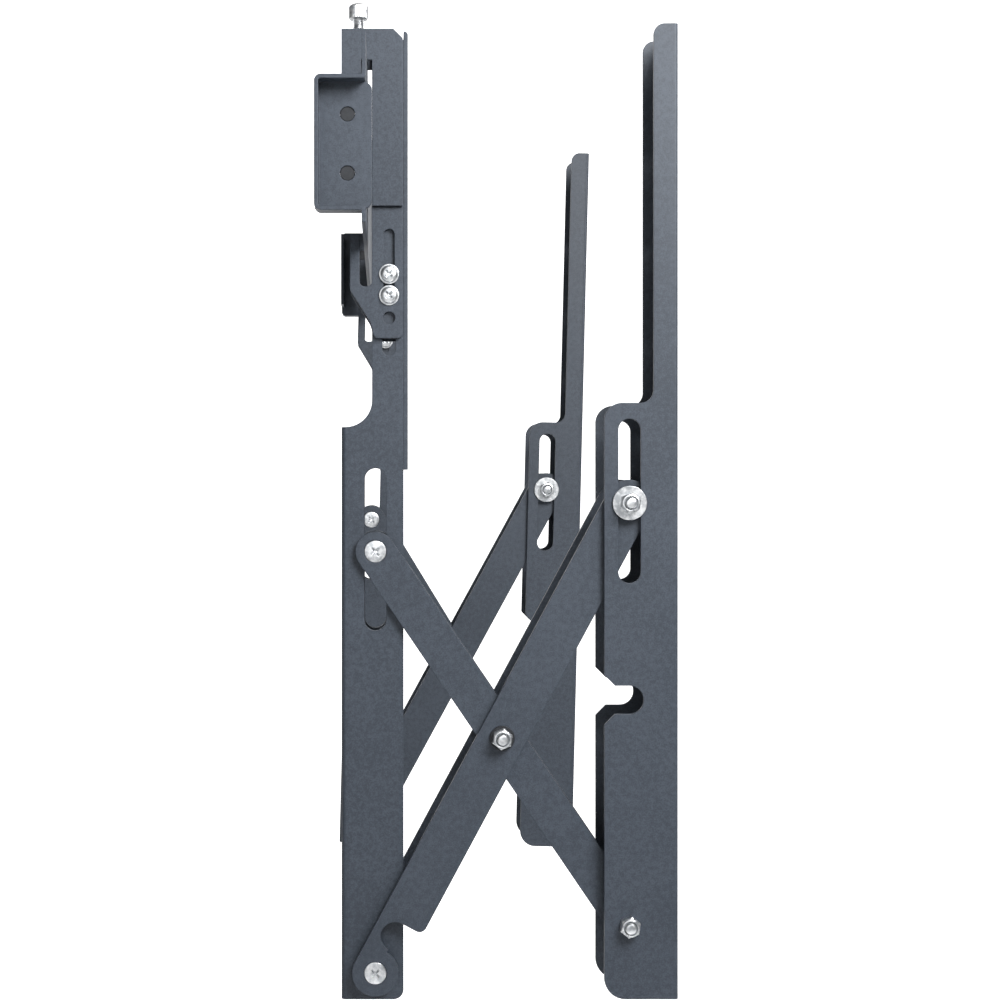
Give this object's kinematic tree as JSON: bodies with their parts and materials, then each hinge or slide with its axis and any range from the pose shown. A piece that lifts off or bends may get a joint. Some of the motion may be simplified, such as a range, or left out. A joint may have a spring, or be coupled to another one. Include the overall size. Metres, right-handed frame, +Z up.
{
  "type": "video wall mount",
  "caption": "Pop-out wall mount for a video wall display: a wall rail between two folded end brackets, with two scissor modules that carry the display rails.",
  "frame": {"origin": "on the wall plane, midway between the slotted wall feet of the two end brackets", "axes": "+X out from the wall into the room, +Y along the wall rail, +Z up"},
  "size_m": [0.1919, 0.6, 0.5405],
  "materials": {
    "charcoal_powder_coat": "fine textured powder coat",
    "bright_zinc": "zinc plated",
    "dark_steel": "black zinc",
    "nylon": "natural nylon"
  },
  "bodies": {
    "wall_rail": {"wall_rail": "charcoal_powder_coat", "left_end_bracket": "charcoal_powder_coat", "right_end_bracket": "charcoal_powder_coat"},
    "left_carrier": {"left_screw_pad": "dark_steel"},
    "left_frame": {"left_frame_channel": "charcoal_powder_coat", "left_front_plate": "charcoal_powder_coat", "left_upper_bracket": "charcoal_powder_coat", "left_hook_screws": "bright_zinc", "left_lower_pivot_studs": "bright_zinc", "left_lower_pivot_spacers": "dark_steel"},
    "left_height_screw": {"left_height_screw": "bright_zinc"},
    "left_hook_front": {"left_hook_plate_front": "charcoal_powder_coat"},
    "left_hook_rear": {"left_hook_plate_rear": "charcoal_powder_coat"},
    "left_long_arms": {"left_long_arm_front": "charcoal_powder_coat", "left_long_arm_rear": "charcoal_powder_coat", "left_cross_bolts": "bright_zinc", "left_cross_washers": "dark_steel", "left_cross_nuts": "bright_zinc", "left_rail_slide_bolts": "bright_zinc", "left_rail_slide_bushes": "nylon", "left_rail_slide_washers": "bright_zinc", "left_rail_slide_nuts": "bright_zinc"},
    "left_short_arms": {"left_short_arm_front": "charcoal_powder_coat", "left_short_arm_rear": "charcoal_powder_coat", "left_upper_slider_studs": "bright_zinc"},
    "left_display_rail": {"left_display_rail": "charcoal_powder_coat", "left_rail_pivot_bolts": "bright_zinc", "left_rail_pivot_spacers": "dark_steel", "left_rail_pivot_nuts": "bright_zinc"},
    "right_carrier": {"right_screw_pad": "dark_steel"},
    "right_frame": {"right_frame_channel": "charcoal_powder_coat", "right_front_plate": "charcoal_powder_coat", "right_upper_bracket": "charcoal_powder_coat", "right_hook_screws": "bright_zinc", "right_lower_pivot_studs": "bright_zinc", "right_lower_pivot_spacers": "dark_steel"},
    "right_height_screw": {"right_height_screw": "bright_zinc"},
    "right_hook_front": {"right_hook_plate_front": "charcoal_powder_coat"},
    "right_hook_rear": {"right_hook_plate_rear": "charcoal_powder_coat"},
    "right_long_arms": {"right_long_arm_front": "charcoal_powder_coat", "right_long_arm_rear": "charcoal_powder_coat", "right_cross_bolts": "bright_zinc", "right_cross_washers": "dark_steel", "right_cross_nuts": "bright_zinc", "right_rail_slide_bolts": "bright_zinc", "right_rail_slide_bushes": "nylon", "right_rail_slide_washers": "bright_zinc", "right_rail_slide_nuts": "bright_zinc"},
    "right_short_arms": {"right_short_arm_front": "charcoal_powder_coat", "right_short_arm_rear": "charcoal_powder_coat", "right_upper_slider_studs": "bright_zinc"},
    "right_display_rail": {"right_display_rail": "charcoal_powder_coat", "right_display_flanges": "charcoal_powder_coat", "right_rail_pivot_bolts": "bright_zinc", "right_rail_pivot_spacers": "dark_steel", "right_rail_pivot_nuts": "bright_zinc"}
  },
  "joints": [
    {"name": "left_slide_along_rail", "type": "slide", "parent": "wall_rail", "child": "left_carrier", "axis": [0, 1, 0], "range_m": [-0.06, 0.12]},
    {"name": "left_lift", "type": "slide", "parent": "left_carrier", "child": "left_frame", "axis": [0, 0, 1], "range_m": [-0.002, 0.002]},
    {"name": "left_screw_turn", "type": "hinge", "parent": "left_carrier", "child": "left_height_screw", "pos_m": [0.0205, -0.2, 0.076], "axis": [0, 0, 1], "range_deg": [-720, 720]},
    {"name": "left_hook_release_front", "type": "slide", "parent": "left_frame", "child": "left_hook_front", "axis": [0, 0, 1], "range_m": [-0.021, 0]},
    {"name": "left_hook_release_rear", "type": "slide", "parent": "left_frame", "child": "left_hook_rear", "axis": [0, 0, 1], "range_m": [-0.021, 0]},
    {"name": "left_scissor", "type": "hinge", "parent": "left_frame", "child": "left_long_arms", "pos_m": [0.0298, -0.2, -0.4325], "axis": [0, 1, 0], "range_deg": [-28.3, 11.5]},
    {"name": "left_crossing", "type": "hinge", "parent": "left_long_arms", "child": "left_short_arms", "pos_m": [0.09783, -0.2, -0.30615], "axis": [0, 1, 0], "range_deg": [-25.53, 62.83]},
    {"name": "left_rail_pivot", "type": "hinge", "parent": "left_short_arms", "child": "left_display_rail", "pos_m": [0.16586, -0.2, -0.40621], "axis": [0, 1, 0], "range_deg": [-34.53, 14.03]},
    {"name": "right_slide_along_rail", "type": "slide", "parent": "wall_rail", "child": "right_carrier", "axis": [0, 1, 0], "range_m": [-0.12, 0.06]},
    {"name": "right_lift", "type": "slide", "parent": "right_carrier", "child": "right_frame", "axis": [0.0244, 0, 0.9997], "range_m": [-0.0075, 0.002]},
    {"name": "right_screw_turn", "type": "hinge", "parent": "right_carrier", "child": "right_height_screw", "pos_m": [0.02224, 0.2, 0.08159], "axis": [0.0244, 0, 0.9997], "range_deg": [-720, 2700]},
    {"name": "right_hook_release_front", "type": "slide", "parent": "right_frame", "child": "right_hook_front", "axis": [0.0244, 0, 0.9997], "range_m": [-0.0155, 0.002]},
    {"name": "right_hook_release_rear", "type": "slide", "parent": "right_frame", "child": "right_hook_rear", "axis": [0.0244, 0, 0.9997], "range_m": [-0.0155, 0.002]},
    {"name": "right_scissor", "type": "hinge", "parent": "right_frame", "child": "right_long_arms", "pos_m": [0.01911, 0.2, -0.42699], "axis": [0, 1, 0], "range_deg": [-27.2, 12.6]},
    {"name": "right_crossing", "type": "hinge", "parent": "right_long_arms", "child": "right_short_arms", "pos_m": [0.0878, 0.2, -0.301], "axis": [0, 1, 0], "range_deg": [-27.97, 60.38]},
    {"name": "right_rail_pivot", "type": "hinge", "parent": "right_short_arms", "child": "right_display_rail", "pos_m": [0.15089, 0.2, -0.40425], "axis": [0, 1, 0], "range_deg": [-33.18, 15.37]}
  ],
  "couplings": [
    {"joint": "left_screw_turn", "follows": "left_lift", "rad_per_m": -6283.2},
    {"joint": "left_crossing", "follows": "left_scissor", "ratio": -2.22},
    {"joint": "left_rail_pivot", "follows": "left_scissor", "ratio": 1.22},
    {"joint": "right_screw_turn", "follows": "right_lift", "rad_per_m": -6283.2},
    {"joint": "right_crossing", "follows": "right_scissor", "ratio": -2.22},
    {"joint": "right_rail_pivot", "follows": "right_scissor", "ratio": 1.22}
  ]
}
